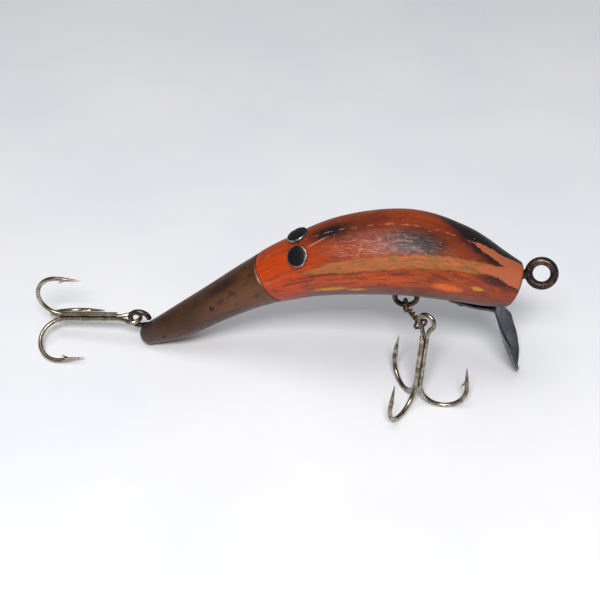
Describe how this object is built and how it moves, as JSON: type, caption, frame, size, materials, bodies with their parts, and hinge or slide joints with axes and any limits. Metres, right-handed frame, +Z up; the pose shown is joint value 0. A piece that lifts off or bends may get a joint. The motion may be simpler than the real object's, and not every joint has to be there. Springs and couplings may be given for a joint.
{
  "type": "crankbait lure",
  "caption": "Old arched wooden crankbait with a copper tail sheath, treble hooks at belly and tail, a wire line tie and a dished diving lip.",
  "frame": {"origin": "on the surface the lure stands on, under the middle of its box", "axes": "+X from the tail to the nose, +Y to the lure's left, +Z up"},
  "size_m": [0.1168, 0.0338, 0.0434],
  "materials": {
    "painted_wood": "worn gloss paint",
    "copper": "brown patina",
    "dark_steel": "dull",
    "lip_steel": "tarnished",
    "bronze": "dark",
    "black_tack": "gloss",
    "rusty_wire": "rust",
    "nickel": "worn plating"
  },
  "bodies": {
    "lure_body": {"wood_body": "painted_wood", "tail_sheath": "copper", "belly_strap": "dark_steel", "diving_lip": "lip_steel", "line_tie_screw_eye": "bronze", "belly_screw_eye": "bronze", "tail_screw_eye": "bronze", "strap_screw": "dark_steel", "lip_screw_left": "dark_steel", "lip_screw_right": "dark_steel", "eye_tack_left": "black_tack", "eye_tack_right": "black_tack", "tail_brad_front_left": "dark_steel", "tail_brad_front_right": "dark_steel", "tail_brad_rear_left": "dark_steel", "tail_brad_rear_right": "dark_steel"},
    "belly_link": {"belly_link": "rusty_wire"},
    "belly_treble": {"belly_double_hook": "nickel", "belly_single_hook": "nickel"},
    "tail_treble": {"tail_double_hook": "nickel", "tail_single_hook": "nickel"}
  },
  "joints": [
    {"name": "belly_link_swing", "type": "hinge", "parent": "lure_body", "child": "belly_link", "pos_m": [0.02649, 0.00481, 0.01834], "axis": [1, 0, 0], "range_deg": [-12, 100]},
    {"name": "belly_treble_swing", "type": "hinge", "parent": "belly_link", "child": "belly_treble", "pos_m": [0.03012, -0.00564, 0.02152], "axis": [0.5383, -0.3567, -0.7636], "range_deg": [-30, 30]},
    {"name": "tail_treble_swing", "type": "hinge", "parent": "lure_body", "child": "tail_treble", "pos_m": [-0.03631, 0.00628, 0.00784], "axis": [0, -0.1392, 0.9903], "range_deg": [-60, 60]}
  ]
}
